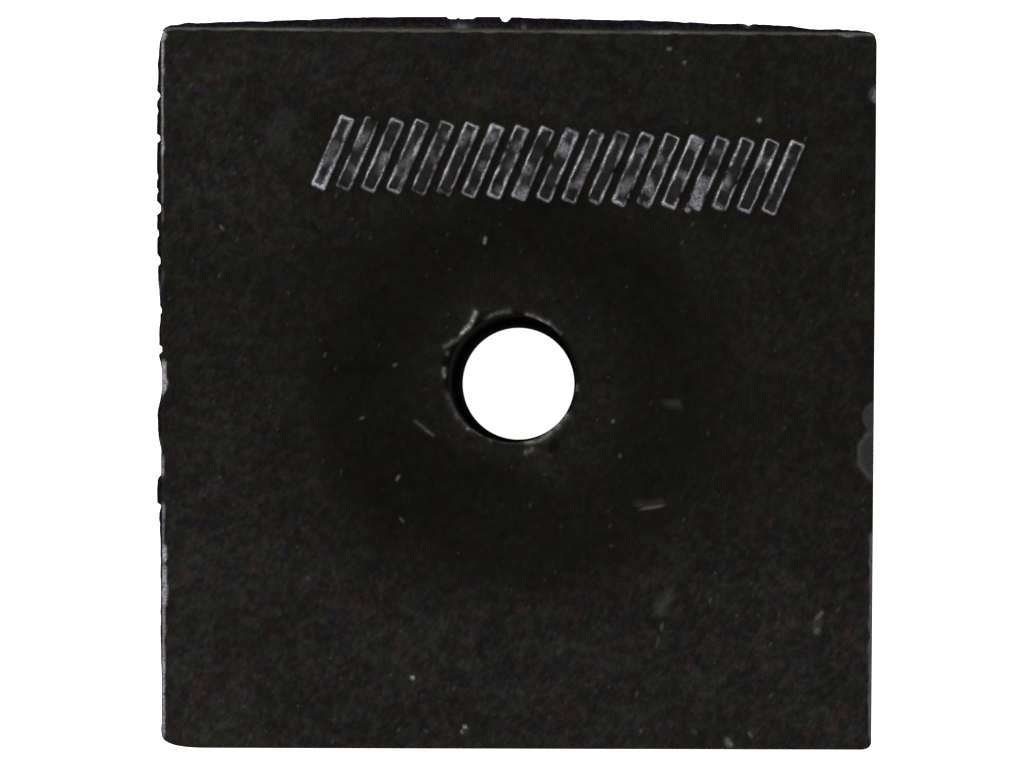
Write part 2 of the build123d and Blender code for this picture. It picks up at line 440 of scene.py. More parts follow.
def set_in(corners, inset):
    """The corners of an outline moved in from both of their sides, with tighter rounding."""
    moved = []
    count = len(corners)
    for index, (x, y, before, after) in enumerate(corners):
        corner = np.array((x, y))
        back = np.array(corners[index - 1][:2]) - corner
        onward = np.array(corners[(index + 1) % count][:2]) - corner
        corner = corner + inset * (unit(back) + unit(onward))
        moved.append((*corner, max(before - inset, 0.25 * before), max(after - inset, 0.25 * after)))
    return moved


def outward(points):
    """Unit vectors square to a closed anticlockwise outline, pointing out of it."""
    tangent = np.roll(points, -3, axis=0) - np.roll(points, 3, axis=0)
    tangent /= np.linalg.norm(tangent, axis=1)[:, None]
    return np.column_stack((tangent[:, 1], -tangent[:, 0]))


class Rim:
    """The sampled edge of the block and everything that changes along it."""

    def __init__(self):
        half = np.array((FACE_WIDTH, FACE_DEPTH)) / 2
        turns = [(-1, -1), (1, -1), (1, 1), (-1, 1)]
        self.mould_corners = [(*(half * turn), CORNER_RADIUS, CORNER_RADIUS) for turn in turns]
        self.face = outline(FACE_CORNERS)
        self.mould = outline(self.mould_corners)
        self.normal = outward(self.face)
        self.count = len(self.face)
        index = np.arange(self.count)
        share = np.clip((index % (SIDE_SAMPLES + CORNER_SAMPLES)) / SIDE_SAMPLES, 0, 1)
        # How near each sample is to the middle of its side, from 0 at a corner to 1.
        self.crest = 1 - (2 * share - 1) ** 2
        self.travel = index * SAMPLE_SPACING
        self.reach = self.lip_reach()
        self.wear_width, self.wear = self.edge_wear()
        self.chip = CHIP_DEPTH * self.wear * rise(0.25, 0.45, self.wear_width)

    def wander(self, scale, seed, height=0.0):
        """Smooth noise along the edge, and up the sides where a height is given."""
        return wobble(self.travel, self.travel * 0 + height, scale, seed)

    def along(self, side):
        """Which samples belong to a side, its corners included, and their places along it."""
        number = SIDES.index(side)
        # Near and far sides are measured along X, the other two along Y.
        place = self.face[:, number % 2]
        out = self.normal[:, 1 - number % 2] * (1 if side in ("right", "far") else -1)
        return out > 0.5, place

    def stepped(self, offset, mould_share=0.0):
        """The edge moved outwards by an offset and a share of the way to the mould's own outline."""
        flat = self.face * (1 - mould_share) + self.mould * mould_share
        return flat + self.normal * np.reshape(offset, (-1, 1))

    def lip_reach(self):
        """How far the lip stands out at each sample, ragged and torn."""
        reach = np.zeros(self.count)
        for side, stations in LIP_REACH.items():
            mine, place = self.along(side)
            base = np.interp(place, [s[0] for s in stations], [s[1] for s in stations])
            reach = np.where(mine, np.maximum(reach, base), reach)
        ragged = self.wander(0.9, 1) * 0.03
        ragged += self.wander(0.3, 2) * 0.02
        reach = reach + ragged * rise(0.02, 0.25, reach)
        for side, tears in TEARS.items():
            mine, places = self.along(side)
            for place, width, depth in tears:
                inside = rise(width / 2 + 0.1, width / 2 - 0.1, np.abs(places - place))
                reach = reach - np.where(mine, inside * depth, 0)
        return np.maximum(reach, -DEEPEST_BITE)

    def lip_wear(self, share):
        """Pale marks on the ring of the lip at this share of its reach."""
        wear = np.zeros(self.count)
        for side, marks in LIP_MARKS.items():
            mine, places = self.along(side)
            for place, half_length, mark_share, strength in marks:
                away = ((places - place) / half_length) ** 2 + ((share - mark_share) / 0.25) ** 2
                wear = np.maximum(wear, np.where(mine, strength * np.exp(-away), 0))
        return wear

    def edge_wear(self):
        """How far in from the edge the pale wear reaches at each sample, and how strong it is."""
        width = np.full(self.count, 0.1)
        strength = np.zeros(self.count)
        for side, stretches in EDGE_WEAR.items():
            mine, place = self.along(side)
            for first, last, reach, amount in stretches:
                started = rise(first - 0.25, first + 0.25, place)
                inside = started * rise(last + 0.25, last - 0.25, place)
                inside = np.where(mine, inside, 0)
                width = width + (reach - width) * inside
                strength = strength + (amount - strength) * inside
        width *= 1 + 0.35 * self.wander(0.8, 3)
        strength *= 1 + 0.35 * self.wander(1.3, 4)
        return width, np.clip(strength, 0, 1)


def add_object(name, data):
    """A new object in the scene, made of this data."""
    made = bpy.data.objects.new(name, data)
    bpy.context.scene.collection.objects.link(made)
    return made


def closed_run(first, count):
    """The edges that join a run of points into a loop."""
    return [(first + i, first + (i + 1) % count) for i in range(count)]


def is_stray(order, outer_count, ring_count):
    """Whether a triangle of a sheet lies outside the outer ring or inside the bore's.

    order is its corners, anticlockwise. The outer ring is numbered first and then the bore's.
    """
    if max(order) < outer_count:
        # With all its corners on the outer ring, it is inside if it runs the same way round.
        rises = sum(order[i] < order[(i + 1) % 3] for i in range(3))
        return rises != 2
    return min(order) >= outer_count and max(order) < ring_count


class Mesh:
    """Vertices in face coordinates with their wear, tone and lip values, and the faces between them."""

    def __init__(self):
        self.points = []
        self.wear = []
        self.tone = []
        self.lip = []
        self.faces = []
        self.slots = []

    def add(self, xyz, wear, tone, lip):
        """Adds vertices and returns their numbers."""
        first = len(self.points)
        count = len(xyz)
        self.points.extend(map(tuple, xyz))
        self.wear.extend(np.broadcast_to(wear, count))
        self.tone.extend(np.broadcast_to(tone, count))
        self.lip.extend(np.broadcast_to(lip, count))
        return list(range(first, first + count))

    def ring(self, flat, relief, wear, tone, lip=0.0):
        """Adds a ring of vertices at this relief and returns their numbers."""
        height = np.broadcast_to(THICKNESS + relief, len(flat))
        return self.add(np.column_stack((flat, height)), wear, tone, lip)

    def band(self, upper, lower, slot=RUBBER_SLOT):
        """Quads between two closed rings, facing outwards where the upper one runs anticlockwise."""
        count = len(upper)
        for index in range(count):
            after = (index + 1) % count
            self.faces.append((upper[index], lower[index], lower[after], upper[after]))
            self.slots.append(slot)

    def fill(self, rings, points, loops, attributes, flip):
        """A triangulated sheet between the outer ring and the bore's, through extra points.

        points are rows of x, y, z, and loops name the runs of them that stay edges.
        """
        known = [number for ring in rings for number in ring]
        flat = [Vector(self.points[number][:2]) for number in known]
        flat += [Vector((x, y)) for x, y, _ in points]
        edges = []
        start = 0
        for ring in rings:
            edges += closed_run(start, len(ring))
            start += len(ring)
        for first, count in loops:
            edges += closed_run(start + first, count)
        triangles, origins = delaunay_2d_cdt(flat, edges, [], INSIDE_EDGES, SAME_PLACE, True)[2:4]
        numbers = known + self.add(points, *attributes)
        for triangle in triangles:
            order = [origins[corner][0] for corner in triangle]
            if is_stray(order, len(rings[0]), len(known)):
                continue
            corners = [numbers[number] for number in order]
            self.faces.append(tuple(reversed(corners)) if flip else tuple(corners))
            self.slots.append(RUBBER_SLOT)

    def build(self, name):
        """The finished object, in metres, in the frame of the block's solid."""
        shift = np.array((FACE_MIDDLE[0], FACE_MIDDLE[1], 0))
        data = bpy.data.meshes.new(name)
        places = np.clip((np.array(self.points) + shift) * MM, cad_low, cad_high)
        data.from_pydata(places.tolist(), [], self.faces)
        for label, values in (("wear", self.wear), ("tone", self.tone), ("lip", self.lip)):
            layer = data.attributes.new(label, "FLOAT", "POINT")
            layer.data.foreach_set("value", np.array(values, np.float32))
        data.polygons.foreach_set("use_smooth", [True] * len(data.polygons))
        data.polygons.foreach_set("material_index", self.slots)
        data.update()
        return add_object(name, data)


def painted_camera_reflection(x, y):
    """What the tone of the face is multiplied by for the painted reflection of the camera."""
    radius = np.hypot(x - REFLECTION_X, y - REFLECTION_Y)
    radius = radius * (1 + 0.05 * wobble(x, y, 9, 11)) + 0.5 * wobble(x, y, 2.5, 12)
    ring = rise(REFLECTION_OUTER + 2.2, REFLECTION_OUTER - 1.8, radius)
    haze = rise(REFLECTION_OUTER + REFLECTION_HAZE_WIDTH, REFLECTION_OUTER, radius)
    # The paler painted sheen inside the ring fades towards the near left.
    inside = rise(REFLECTION_INNER + 2, REFLECTION_INNER - 2, radius)
    inside = inside * rise(-5.7, -4.7, 0.9 * y + 0.4 * x)
    fade = REFLECTION_FADE * rise(2, 10, x - y)
    return (1 - (REFLECTION_SHADE - fade) * ring) * (1 - REFLECTION_HAZE_SHADE * haze) * (1 + INNER_SHEEN * inside)


def face_tone(x, y):
    """How light the rubber of the ribbed face is, with the painted reflection of the camera round the bore.
    """
    tone = FACE_TONE + NEAR_LIGHTENING * rise(-6, -20, y) + LEFT_LIGHTENING * rise(-12, -23, x)
    tone -= RIGHT_SHADE * rise(5, 16, x) * rise(-14, -4, y)
    tone -= LEFT_SHADE * rise(-10, -18, x) * rise(9, 3, np.abs(y - 6))
    # Painted reflection of the camera: a dark ring round the bore with paler painted sheen inside it.
    tone = tone * painted_camera_reflection(x, y)
    # Over the row of raised ribs the rubber is darker.
    across, along = turned(x - ROW_X, y - ROW_Y, ROW_SLANT)
    row = rise(18.3, 16.6, np.abs(across)) * rise(3.9, 2.6, np.abs(along))
    tone = tone * (1 - ROW_SHADE * row)
    for dent in DENTS:
        tone = tone * (1 - DENT_SHADE * rise(1.2, 0.6, oval_distance(x, y, *dent)))
    return tone


def scratch_wear(x, y):
    """Pale scratches and torn skin, mostly round the mouth of the bore."""
    bend_x = x + 0.05 * wobble(x, y, 0.5, 22)
    bend_y = y + 0.05 * wobble(x, y, 0.5, 23)
    rough = 1 + 0.45 * wobble(x, y, 0.3, 21)
    wear = np.zeros(len(x))
    for path, width, strength in SCRATCHES:
        for (x0, y0), (x1, y1) in zip(path, path[1:]):
            length = math.dist((x0, y0), (x1, y1))
            share = ((bend_x - x0) * (x1 - x0) + (bend_y - y0) * (y1 - y0)) / length**2
            share = np.clip(share, 0, 1)
            away = np.hypot(bend_x - x0 - (x1 - x0) * share, bend_y - y0 - (y1 - y0) * share)
            near = 0.8 * np.exp(-((2 * away / width) ** 2)) + 0.2 * np.exp(-((away / width) ** 2))
            wear = np.maximum(wear, strength * rough * near)
    return np.clip(wear, 0, 1)


def mark_wear(x, y):
    """Pale marks, scuffs and scratches on the face."""
    wear = scratch_wear(x, y)
    for mark_x, mark_y, length, width, turn, strength in MARKS:
        along, across = turned(x - mark_x, y - mark_y, turn)
        spread = (2 * along / length) ** 4 + (2 * across / width) ** 2
        wear = np.maximum(wear, strength * np.exp(-spread))
    uneven = 1 + 0.06 * wobble(x, y, 0.7, 13)
    for *oval, strength, outline_strength in SCUFFS:
        distance = oval_distance(x, y, *oval) * uneven
        edge = np.exp(-(((distance - 0.93) / 0.11) ** 2))
        wear = np.maximum(wear, strength * rise(1.12, 0.78, distance) + outline_strength * edge)
    return wear


def rib_frame(index):
    """The middle of a rib and the turn of its long side from Y."""
    offset = (index - (RIB_COUNT - 1) / 2) * RIB_PITCH
    slant = math.radians(ROW_SLANT)
    return ROW_X + offset * math.cos(slant), ROW_Y + offset * math.sin(slant), ROW_SLANT - RIB_LEAN


def rib_loop(growth):
    """A rounded oblong the size of a rib, grown by a margin, and the outward direction at each point."""
    half_width = RIB_WIDTH / 2 + growth
    half_length = RIB_LENGTH / 2 + growth
    radius = min(half_width * 0.95, max(0.12, RIB_CORNER_RADIUS + growth))
    inner_x = half_width - radius
    inner_y = half_length - radius
    # The centre of each corner's arc, and where the arc starts.
    corners = [
        (inner_x, -inner_y, -90),
        (inner_x, inner_y, 0),
        (-inner_x, inner_y, 90),
        (-inner_x, -inner_y, 180),
    ]
    path = []
    directions = []
    for index, (x, y, start) in enumerate(corners):
        angles = np.radians(np.linspace(start, start + 90, RIB_CORNER_POINTS))
        arc = np.column_stack((np.cos(angles), np.sin(angles)))
        end = np.array((x, y)) + radius * arc[-1]
        following = np.array(corners[(index + 1) % 4][:2]) + radius * arc[-1]
        pieces = max(2, int(np.linalg.norm(following - end) / RIB_POINT_STEP) + 1)
        share = np.linspace(0, 1, pieces, endpoint=False)[1:, None]
        path += [np.array((x, y)) + radius * arc, end + (following - end) * share]
        directions += [arc, np.repeat(arc[-1:], pieces - 1, axis=0)]
    return np.vstack(path), np.vstack(directions)


def rib_chalk(x, y, growth):
    """Chalk that fills parts of the tops of the ribs."""
    inside = rise(0.02, -0.12, growth)
    faint = 0.011 + 0.01 * wobble(x, y, 0.6, 37)
    return inside * np.clip(np.maximum(0.5 * wobble(x, y, 1.5, 36) - 0.12, faint), 0, 0.3)


def rib_points():
    """Points of the ribs from foot to top, the runs that stay edges, and their pale wear."""
    points = []
    wear = []
    loops = []
    for index in range(RIB_COUNT):
        middle_x, middle_y, turn = rib_frame(index)
        angle = math.radians(turn)
        for growth, relief in RIB_SECTION:
            loop, direction = rib_loop(growth)
            # Each rib's outline is uneven in its own way, and its foot is smooth.
            own_x = loop[:, 0] + index * 9
            rough = 0.03 * wobble(own_x, loop[:, 1], 0.6, 31) * rise(0.2, 0.05, abs(growth))
            loop = loop + direction * rough[:, None]
            x = middle_x + loop[:, 0] * math.cos(angle) - loop[:, 1] * math.sin(angle)
            y = middle_y + loop[:, 0] * math.sin(angle) + loop[:, 1] * math.cos(angle)
            worn = 0.08 * (1 + wobble(x, y, 0.7, 32)) * rise(0, 0.2, relief)
            loops.append((len(points), len(loop)))
            points.extend(zip(x, y, np.minimum(relief * (1 - worn), RIB_HEIGHT)))
            # Chalk clings to the edge of each rib, and here and there to its top.
            clings = 0.59 + 0.62 * wobble(x, y, 1.6, 33) + 0.38 * wobble(x, y, 0.45, 34)
            spread = 0.08 * (1 + 0.95 * wobble(x, y, 1.1, 35)) if growth < 0 else 0.07
            band = np.exp(-(((growth + 0.04) / np.maximum(spread, 0.03)) ** 2))
            wear.extend(np.clip(np.maximum(band * clings, rib_chalk(x, y, growth)), 0, 1))
    return np.array(points), loops, np.array(wear)


def rib_inside(points):
    """Which points lie on top of a rib."""
    found = np.zeros(len(points), bool)
    for index in range(RIB_COUNT):
        middle_x, middle_y, turn = rib_frame(index)
        across, along = turned(points[:, 0] - middle_x, points[:, 1] - middle_y, turn)
        found |= (np.abs(across) < RIB_WIDTH / 2) & (np.abs(along) < RIB_LENGTH / 2)
    return found


def patch_points(centre_x, centre_y, length, width, turn):
    """A close grid over a mark, so that its outline stays crisp."""
    angle = math.radians(turn)
    along = np.arange(-length * 0.7 - FINE_STEP, length * 0.7 + FINE_STEP, FINE_STEP)
    across = np.arange(-width - FINE_STEP, width + FINE_STEP, FINE_STEP)
    u, v = (part.ravel() for part in np.meshgrid(along, across))
    x = centre_x + u * math.cos(angle) - v * math.sin(angle)
    y = centre_y + u * math.sin(angle) + v * math.cos(angle)
    return np.column_stack((x, y))


def grid_points(step, seed):
    """An uneven grid of points over the face."""
    generator = np.random.default_rng(seed)
    half = FACE_DEPTH / 2
    ticks = np.arange(-half, half, step)
    x, y = (part.ravel() for part in np.meshgrid(ticks, ticks))
    return np.column_stack((x, y)) + generator.uniform(-0.3, 0.3, (len(x), 2)) * step


def open_points(points, margin, bore_margin):
    """The points that keep one margin from the face's edge and the other from the bore's wall."""
    inside = np.hypot(points[:, 0] - BORE_X, points[:, 1] - BORE_Y) > BORE_RADIUS + bore_margin
    for index, corner in enumerate(FACE_CORNERS):
        start = np.array(FACE_CORNERS[index - 1][:2])
        along = unit(np.array(corner[:2]) - start)
        inward = np.array((-along[1], along[0]))
        inside &= (points - start) @ inward > margin
    return points[inside]


def keep_apart(candidates, taken, gap):
    """The candidates that lie further than gap from every taken point."""
    tree = KDTree(len(taken))
    for index, (x, y) in enumerate(taken):
        tree.insert((x, y, 0), index)
    tree.balance()
    return np.array([point for point in candidates if tree.find((point[0], point[1], 0))[2] > gap])


def face_rings(mesh, rim):
    """Rings on the face, from its inner part out to the worn edge and over it."""
    rings = []
    worn_in = np.maximum(rim.wear_width, 0.05)
    for inset in FACE_INSETS:
        flat = outline(set_in(FACE_CORNERS, inset))
        inside = rise(worn_in + 0.05, worn_in - 0.05, inset)
        wear = np.maximum(rim.wear * inside, mark_wear(*flat.T))
        relief = -rim.chip * inside * rise(0.6, 0.1, inset)
        if inset == FACE_INSETS[-1]:
            relief = relief - EDGE_DIP
        rings.append(mesh.ring(flat, relief, wear, face_tone(*flat.T)))
    edge_tone = face_tone(*rim.face.T)
    for offset, relief, wear_share, tone_share, lip in EDGE_SECTION:
        flat = rim.stepped(offset)
        rings.append(mesh.ring(flat, relief - rim.chip, rim.wear * wear_share, edge_tone * tone_share, lip))
    return rings


def lip_rings(mesh, rim):
    """Rings of the lip, from its root out over its free edge and back to the side."""
    rings = []
    there = rise(0.0, 0.12, rim.reach) * np.where(rim.along("left")[0], LEFT_LIP_STRENGTH, 1.0)
    for share, relief, lip in LIP_SECTION:
        flat = rim.stepped(rim.reach * share + LIP_CLEARANCE)
        colour = np.minimum(lip * there, 1)
        if relief > LIP_TOP:
            rings.append(mesh.ring(flat, relief - rim.chip, rim.lip_wear(share), LIP_TONE, colour))
        else:
            rings.append(mesh.ring(flat, relief, 0.0, LIP_TONE, colour))
    return rings


def side_rings(mesh, rim):
    """Rings of the sides, down to the underside's rim and a little way under it."""
    rings = []
    # Each side is a parabola from the underside's edge out over the waist to the face's edge.
    swell = WAIST_SWELL + WAIST_BOW * rim.crest
    curve = -4 * (swell + UNDERSIDE_INSET / 2)
    slope = UNDERSIDE_INSET - curve
    for height in SIDE_HEIGHTS:
        share = height / THICKNESS
        offset = curve * share**2 + slope * share - UNDERSIDE_INSET
        offset = offset + 0.02 * rim.wander(4.0, 5, height)
        flat = rim.stepped(offset, mould_share=rise(24.4, 15.0, height))
        wear = np.clip(rise(0.5, 0.12, height) * 0.5 * rim.wander(2.5, 6), 0, 1)
        # The sides are unevenly pale, and paler towards the underside and towards the face.
        tone = SIDE_TONE + 0.16 * rim.wander(7.0, 7, height)
        tone = tone + 0.2 * rise(3.5, 0.3, height) + 0.12 * rise(21.5, 23.7, height)
        rings.append(mesh.ring(flat, height - THICKNESS, wear, tone))
    for inset, height, wear in UNDERSIDE_RINGS:
        flat = outline(set_in(rim.mould_corners, UNDERSIDE_INSET + inset))
        rings.append(mesh.ring(flat, height - THICKNESS, wear, UNDERSIDE_TONE))
    return rings


def make_bore(mesh):
    """The bore, from a ring on the face down to one on the underside; returns those two."""
    angles = np.arange(BORE_COLUMNS) * 2 * math.pi / BORE_COLUMNS
    # Where the skin of the mouth has broken away and its painted shade is deepest.
    broken = rise(0.55, 0.9, np.cos(angles - math.radians(SHADED_MOUTH_TURN)))
    wall = [(0.0, -depth) for depth in WALL_DEPTHS]
    lower_mouth = [(growth, -THICKNESS - relief) for growth, relief in reversed(MOUTH_SECTION[::3])]
    rings = []
    for growth, relief in MOUTH_SECTION + wall + lower_mouth:
        radius = BORE_RADIUS + growth
        x = BORE_X + radius * np.cos(angles)
        y = BORE_Y + radius * np.sin(angles)
        tone = WALL_TONE
        wear = 0.0
        bump = 0.0
        if relief > MOUTH_END:
            wear = mark_wear(x, y)
            bump = 0.06 * wear * rise(1.5, 1.2, growth)
            # Painted shade darkens the rim of the mouth all round, most where its skin has broken away.
            shade = rise(0.4 + 0.3 * broken, 0.1 + 0.25 * broken, growth)
            tone = face_tone(x, y) * (1 - (0.5 + 0.25 * broken) * shade)
        rings.append(mesh.ring(np.column_stack((x, y)), relief + bump, wear, tone))
    for number, (upper, lower) in enumerate(zip(rings, rings[1:])):
        on_wall = len(MOUTH_SECTION) - 2 < number < len(MOUTH_SECTION) + len(wall)
        mesh.band(lower, upper, BORE_SLOT if on_wall else RUBBER_SLOT)
    return rings[0], rings[-1]


def fill_face(mesh, outer, inner):
    """The ribbed face between its outer ring and the bore's."""
    ribs, loops, rib_wear = rib_points()
    taken = [mesh.points[number][:2] for number in outer + inner] + [tuple(point[:2]) for point in ribs]
    patches = [mark[:5] for mark in MARKS] + [SCRATCH_PATCH]
    fine = open_points(np.vstack([patch_points(*patch) for patch in patches]), *FINE_MARGINS)
    fine = keep_apart(fine, taken, FINE_GAP)
    coarse = open_points(grid_points(COARSE_STEP, seed=7), *COARSE_MARGINS)
    coarse = keep_apart(coarse, taken + [tuple(point) for point in fine], COARSE_GAP)
    plain = np.vstack((fine, coarse))
    on_rib = rib_inside(plain)
    plain_wear = np.where(on_rib, rib_chalk(plain[:, 0], plain[:, 1], RIB_TOP_GROWTH), 0)
    plain = np.column_stack((plain, np.where(on_rib, RIB_TOP_RELIEF, 0.0)))
    points = np.vstack((ribs, plain))
    wear = np.concatenate((rib_wear, plain_wear))
    wear = np.maximum(wear, mark_wear(points[:, 0], points[:, 1]))
    tone = face_tone(points[:, 0], points[:, 1])
    points[:, 2] += THICKNESS
    mesh.fill([outer, inner], points, loops, (wear, tone, 0.0), flip=False)


def fill_underside(mesh, outer, inner):
    """The flat underside between its outer ring and the bore's."""
    flat = open_points(grid_points(UNDERSIDE_STEP, seed=8), *UNDERSIDE_MARGINS)
    points = np.column_stack((flat, np.zeros(len(flat))))
    mesh.fill([outer, inner], points, [], (0.0, UNDERSIDE_TONE, 0.0), flip=True)


def make_block():
    """The whole block as one closed mesh."""
    rim = Rim()
    mesh = Mesh()
    rings = face_rings(mesh, rim) + lip_rings(mesh, rim) + side_rings(mesh, rim)
    for upper, lower in zip(rings, rings[1:]):
        mesh.band(upper, lower)
    upper_mouth, lower_mouth = make_bore(mesh)
    fill_face(mesh, rings[0], upper_mouth)
    fill_underside(mesh, rings[-1], lower_mouth)
    return mesh.build("rubber_block")


class Nodes:
    """Short calls for the nodes of one material."""

    def __init__(self, name):
        self.material = bpy.data.materials.new(name)
        self.material.use_nodes = True
        self.tree = self.material.node_tree
        self.shader = self.tree.nodes["Principled BSDF"]
        self.place = self.add("ShaderNodeTexCoord").outputs["Object"]

    def add(self, kind, **values):
        node = self.tree.nodes.new(kind)
        for name, value in values.items():
            setattr(node, name, value)
        return node

    def link(self, source, target):
        self.tree.links.new(source, target)

    def value(self, target, source):
        """Feeds a socket from another one or with a plain value."""
        if isinstance(source, bpy.types.NodeSocket):
            self.link(source, target)
        else:
            target.default_value = source

    def finished(self, **values):
        """The material once these inputs of its shader are set; underscores stand for spaces."""
        for name, value in values.items():
            self.value(self.shader.inputs[name.replace("_", " ")], value)
        return self.material

    def math(self, operation, first, second=0.0, clamp=False):
        node = self.add("ShaderNodeMath", operation=operation, use_clamp=clamp)
        self.value(node.inputs[0], first)
        self.value(node.inputs[1], second)
        return node.outputs[0]

    def product(self, first, second):
        """One number times another."""
        return self.math("MULTIPLY", first, second)

    def range(self, source, low, high, new_low=0.0, new_high=1.0):
        """A smooth rise from new_low to new_high as the source goes from low to high."""
        node = self.add("ShaderNodeMapRange", interpolation_type="SMOOTHSTEP")
        for number, item in enumerate((source, low, high, new_low, new_high)):
            self.value(node.inputs[number], item)
        return node.outputs[0]

    def scaled_place(self, size, stretch, turn, seed):
        """The place on the block in units of size millimetres, stretched along a direction."""
        turning = self.add("ShaderNodeMapping")
        self.link(self.place, turning.inputs["Vector"])
        turning.inputs["Rotation"].default_value = (0, 0, -math.radians(turn))
        scaling = self.add("ShaderNodeMapping")
        self.link(turning.outputs[0], scaling.inputs["Vector"])
        scaling.inputs["Location"].default_value = (seed * 13.1, seed * -7.7, seed * 3.3)
        scaling.inputs["Scale"].default_value = [1 / (size * MM * part) for part in stretch]
        return scaling.outputs[0]

    def texture(self, kind, *placing):
        """A texture over the block, with its size, stretch, turn and seed."""
        node = self.add(kind)
        self.link(self.scaled_place(*placing), node.inputs["Vector"])
        node.inputs["Scale"].default_value = 1.0
        return node

    def specks(self, spacing, radius, share, stretch, turn):
        """Soft specks: 1 in the middle of those that show and 0 between them."""
        node = self.texture("ShaderNodeTexVoronoi", spacing, stretch, turn, 5)
        parts = self.add("ShaderNodeSeparateColor")
        self.link(node.outputs["Color"], parts.inputs["Color"])
        shown = self.range(parts.outputs[0], 1 - share, 1.0)
        return self.product(self.range(node.outputs["Distance"], radius, 0.0), shown)

    def noise(self, size, detail=3.0, roughness=0.55, stretch=(1, 1, 1), turn=0.0, seed=0):
        """Noise with features about size millimetres across."""
        node = self.texture("ShaderNodeTexNoise", size, stretch, turn, seed)
        node.inputs["Detail"].default_value = detail
        node.inputs["Roughness"].default_value = roughness
        return node.outputs["Fac"]

    def attribute(self, name):
        """A value that the mesh's vertices carry."""
        return self.add("ShaderNodeAttribute", attribute_name=name).outputs["Fac"]

    def mix(self, share, first, second):
        """The first colour where the share is 0, and the second where it is 1."""
        node = self.add("ShaderNodeMix", data_type="RGBA")
        self.value(node.inputs["Factor"], share)
        self.value(node.inputs["A"], first)
        self.value(node.inputs["B"], second)
        return node.outputs["Result"]

    def scaled_parts(self, colour, factors):
        """A colour times another, part by part."""
        node = self.add("ShaderNodeVectorMath", operation="MULTIPLY")
        self.value(node.inputs[0], colour)
        self.value(node.inputs[1], factors)
        return node.outputs[0]

    def scaled(self, colour, amount):
        """A colour times a number."""
        node = self.add("ShaderNodeVectorMath", operation="SCALE")
        self.value(node.inputs[0], colour)
        self.value(node.inputs["Scale"], amount)
        return node.outputs[0]


def clouded_black(nodes):
    """The rubber's black, with faint clouds of red, green and violet."""
    red = nodes.range(nodes.noise(1.3, seed=1), 0.42, 0.66)
    violet = nodes.range(nodes.noise(1.1, seed=2), 0.48, 0.66)
    return nodes.mix(violet, nodes.mix(red, GREENISH_BLACK, REDDISH_BLACK), VIOLET_BLACK)


def mottling(nodes, fading):
    """What the tone is multiplied by for the mottling, which fades where the rubber is dark."""
    mottle = 1.0
    for size, stretch, turn, low, high in MOTTLE_LAYERS:
        layer = nodes.range(nodes.noise(size, 2.0, 0.6, stretch, turn), 0.34, 0.74, low, high)
        mottle = nodes.product(layer, mottle)
    return nodes.math("ADD", nodes.product(nodes.math("SUBTRACT", mottle, 1.0), fading), 1.0)


def dust_share(nodes, fading):
    """Where dust lies: round specks, and short ones that lie aslant."""
    round_dust = nodes.specks(0.75, 0.2, 0.3, (1, 1, 1), 0)
    slant_dust = nodes.specks(0.8, 0.2, 0.35, (1.9, 1, 1), 60)
    dust = nodes.product(nodes.math("MAXIMUM", round_dust, slant_dust), fading)
    return nodes.product(dust, DUST_STRENGTH)


def lip_colour(nodes, lip):
    """The lip's black, with painted light from the side in brown on its root, and a bluish free edge."""
    blue = nodes.range(nodes.noise(4.0, 2.0, seed=6), 0.42, 0.6)
    edge = nodes.mix(blue, LIP_VIOLET, LIP_BLUE)
    # The brown on the lip's root is painted light, standing in for light falling on the side.
    colour = nodes.mix(nodes.range(lip, 0.42, 0.62), PAINTED_LIGHT_LIP_ROOT_BROWN, edge)
    colour = nodes.scaled(colour, nodes.range(nodes.noise(0.3, 2.0), 0.35, 0.65, 0.5, 1.6))
    return nodes.mix(nodes.range(lip, 0.8, 1.0, 0.0, 0.85), colour, LIP_EDGE_BLACK)


def chalk_share(nodes, wear):
    """How far the chalky wear covers the rubber, broken up by fine noise."""
    least = nodes.range(wear, 0.04, 0.2, 0.75, 0.3)
    broken = nodes.range(nodes.noise(0.2, 3.0, 0.65), 0.32, 0.62, least, 1.15)
    return nodes.math("MULTIPLY", wear, broken, clamp=True)


def chalk_colour(nodes):
    """The chalk, bluish on the ribs and along the left and right edges, and creamy elsewhere."""
    parts = nodes.add("ShaderNodeSeparateXYZ")
    nodes.link(nodes.place, parts.inputs[0])
    row_y = (ROW_Y + FACE_MIDDLE[1]) * MM
    from_row = nodes.math("ABSOLUTE", nodes.math("SUBTRACT", parts.outputs[1], row_y))
    from_middle = nodes.math("ABSOLUTE", parts.outputs[0])
    cream = nodes.range(nodes.noise(3.0, 1.0, seed=4), 0.4, 0.6, 0.35, 1.0)
    cream = nodes.product(cream, nodes.range(from_row, 3.5 * MM, 6 * MM))
    cream = nodes.product(cream, nodes.range(from_middle, 22 * MM, 24 * MM, 1.0, 0.25))
    return nodes.mix(cream, BLUISH_CHALK, CREAMY_CHALK)


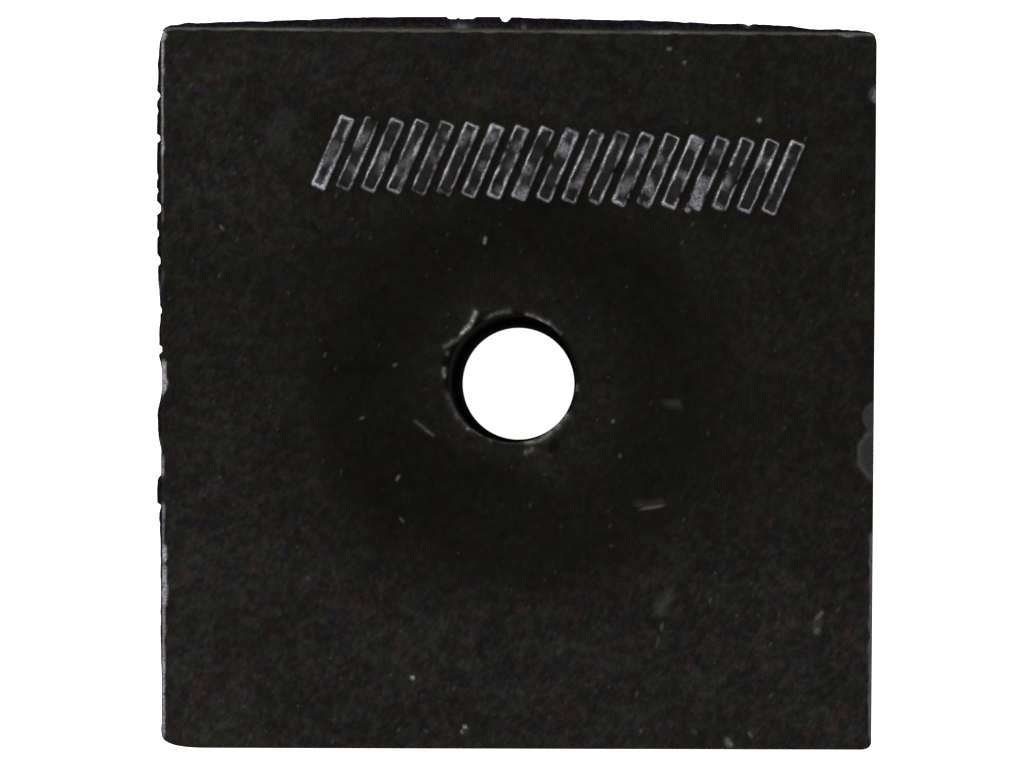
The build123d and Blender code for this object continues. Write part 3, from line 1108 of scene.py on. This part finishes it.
def rubber_material():
    """Matt moulded black rubber, with its mottling, dust, dark lip and pale wear."""
    nodes = Nodes("moulded_rubber")
    wear = nodes.attribute("wear")
    tone = nodes.attribute("tone")
    lip = nodes.attribute("lip")
    # The tone carries the painted reflection of the camera and the painted shade in the bore's mouth as
    # well as the rubber's own lightness; where it is low the rubber is also greener.
    fading = nodes.range(tone, 0.4, 0.95, 0.6, 1.0)
    colour = nodes.scaled(clouded_black(nodes), nodes.product(tone, mottling(nodes, fading)))
    colour = nodes.scaled_parts(colour, nodes.mix(fading, DARK_TINT, WHITE))
    colour = nodes.mix(dust_share(nodes, fading), colour, DUST)
    colour = nodes.mix(nodes.range(lip, 0.1, 0.35, 0.0, 0.95), colour, lip_colour(nodes, lip))
    colour = nodes.mix(chalk_share(nodes, wear), colour, chalk_colour(nodes))
    bump = nodes.add("ShaderNodeBump")
    nodes.value(bump.inputs["Strength"], BUMP_STRENGTH)
    nodes.value(bump.inputs["Distance"], BUMP_HEIGHT * MM)
    nodes.link(nodes.noise(0.2, 4.0, 0.65), bump.inputs["Height"])
    roughness = nodes.range(nodes.noise(0.8), 0.3, 0.7, 0.62, 0.8)
    return nodes.finished(
        Base_Color=colour,
        Roughness=roughness,
        Specular_IOR_Level=0.03,
        Normal=bump.outputs["Normal"],
    )


def bore_material():
    """The dull black wall of the bore, with faint rings from the moulding pin."""
    nodes = Nodes("bore_rubber")
    rings = nodes.range(nodes.noise(0.5, 3.0, 0.6, (8, 8, 1)), 0.3, 0.7, 0.6, 1.4)
    colour = nodes.scaled(WALL_BLACK, rings)
    return nodes.finished(Base_Color=colour, Roughness=0.95, Specular_IOR_Level=0.0)


def ground_material():
    """White that stays white under the block's shadow."""
    nodes = Nodes("white_ground")
    return nodes.finished(
        Base_Color=GROUND_WHITE,
        Roughness=0.9,
        Specular_IOR_Level=0.1,
        Emission_Color=WHITE,
        Emission_Strength=1.0,
    )


def make_floor():
    """A plain white ground, which also shows through the bore."""
    size = GROUND_HALF_WIDTH
    data = bpy.data.meshes.new("ground")
    corners = [(-size, -size, 0), (size, -size, 0), (size, size, 0), (-size, size, 0)]
    data.from_pydata(corners, [], [(0, 1, 2, 3)])
    data.materials.append(ground_material())
    floor = add_object("ground", data)
    floor.location.z = -GROUND_GAP


def light_scene():
    """Soft light from all round, a little stronger from the far left."""
    world = bpy.data.worlds.new("studio")
    world.use_nodes = True
    background = world.node_tree.nodes["Background"]
    background.inputs["Color"].default_value = WHITE
    background.inputs["Strength"].default_value = SURROUND_STRENGTH
    bpy.context.scene.world = world
    for name, place, size, power in LIGHTS:
        lamp = bpy.data.lights.new(name, "AREA")
        lamp.size = size
        lamp.energy = power
        light = add_object(name, lamp)
        light.location = place
        light.rotation_euler = (-Vector(place)).to_track_quat("-Z", "Y").to_euler()
    bpy.context.scene.view_settings.view_transform = "Standard"


def make_camera():
    """The camera, over its foot beside the middle of the face."""
    camera = bpy.data.cameras.new("camera")
    camera.sensor_width = SENSOR_WIDTH
    camera.lens = SENSOR_WIDTH * CAMERA_DISTANCE / VIEW_WIDTH
    camera.shift_x = -FOOT_RIGHT / IMAGE_WIDTH
    camera.shift_y = FOOT_DOWN / IMAGE_WIDTH
    camera.clip_start = 0.01
    holder = add_object("camera", camera)
    x = (CAMERA_X + FACE_MIDDLE[0]) * MM
    y = (CAMERA_Y + FACE_MIDDLE[1]) * MM
    holder.location = (x, y, (THICKNESS + CAMERA_DISTANCE) * MM)
    bpy.context.scene.camera = holder


block = make_block()
block.data.materials.append(rubber_material())
block.data.materials.append(bore_material())
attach(block, "root")
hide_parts("buffer_block")
make_floor()
light_scene()
make_camera()
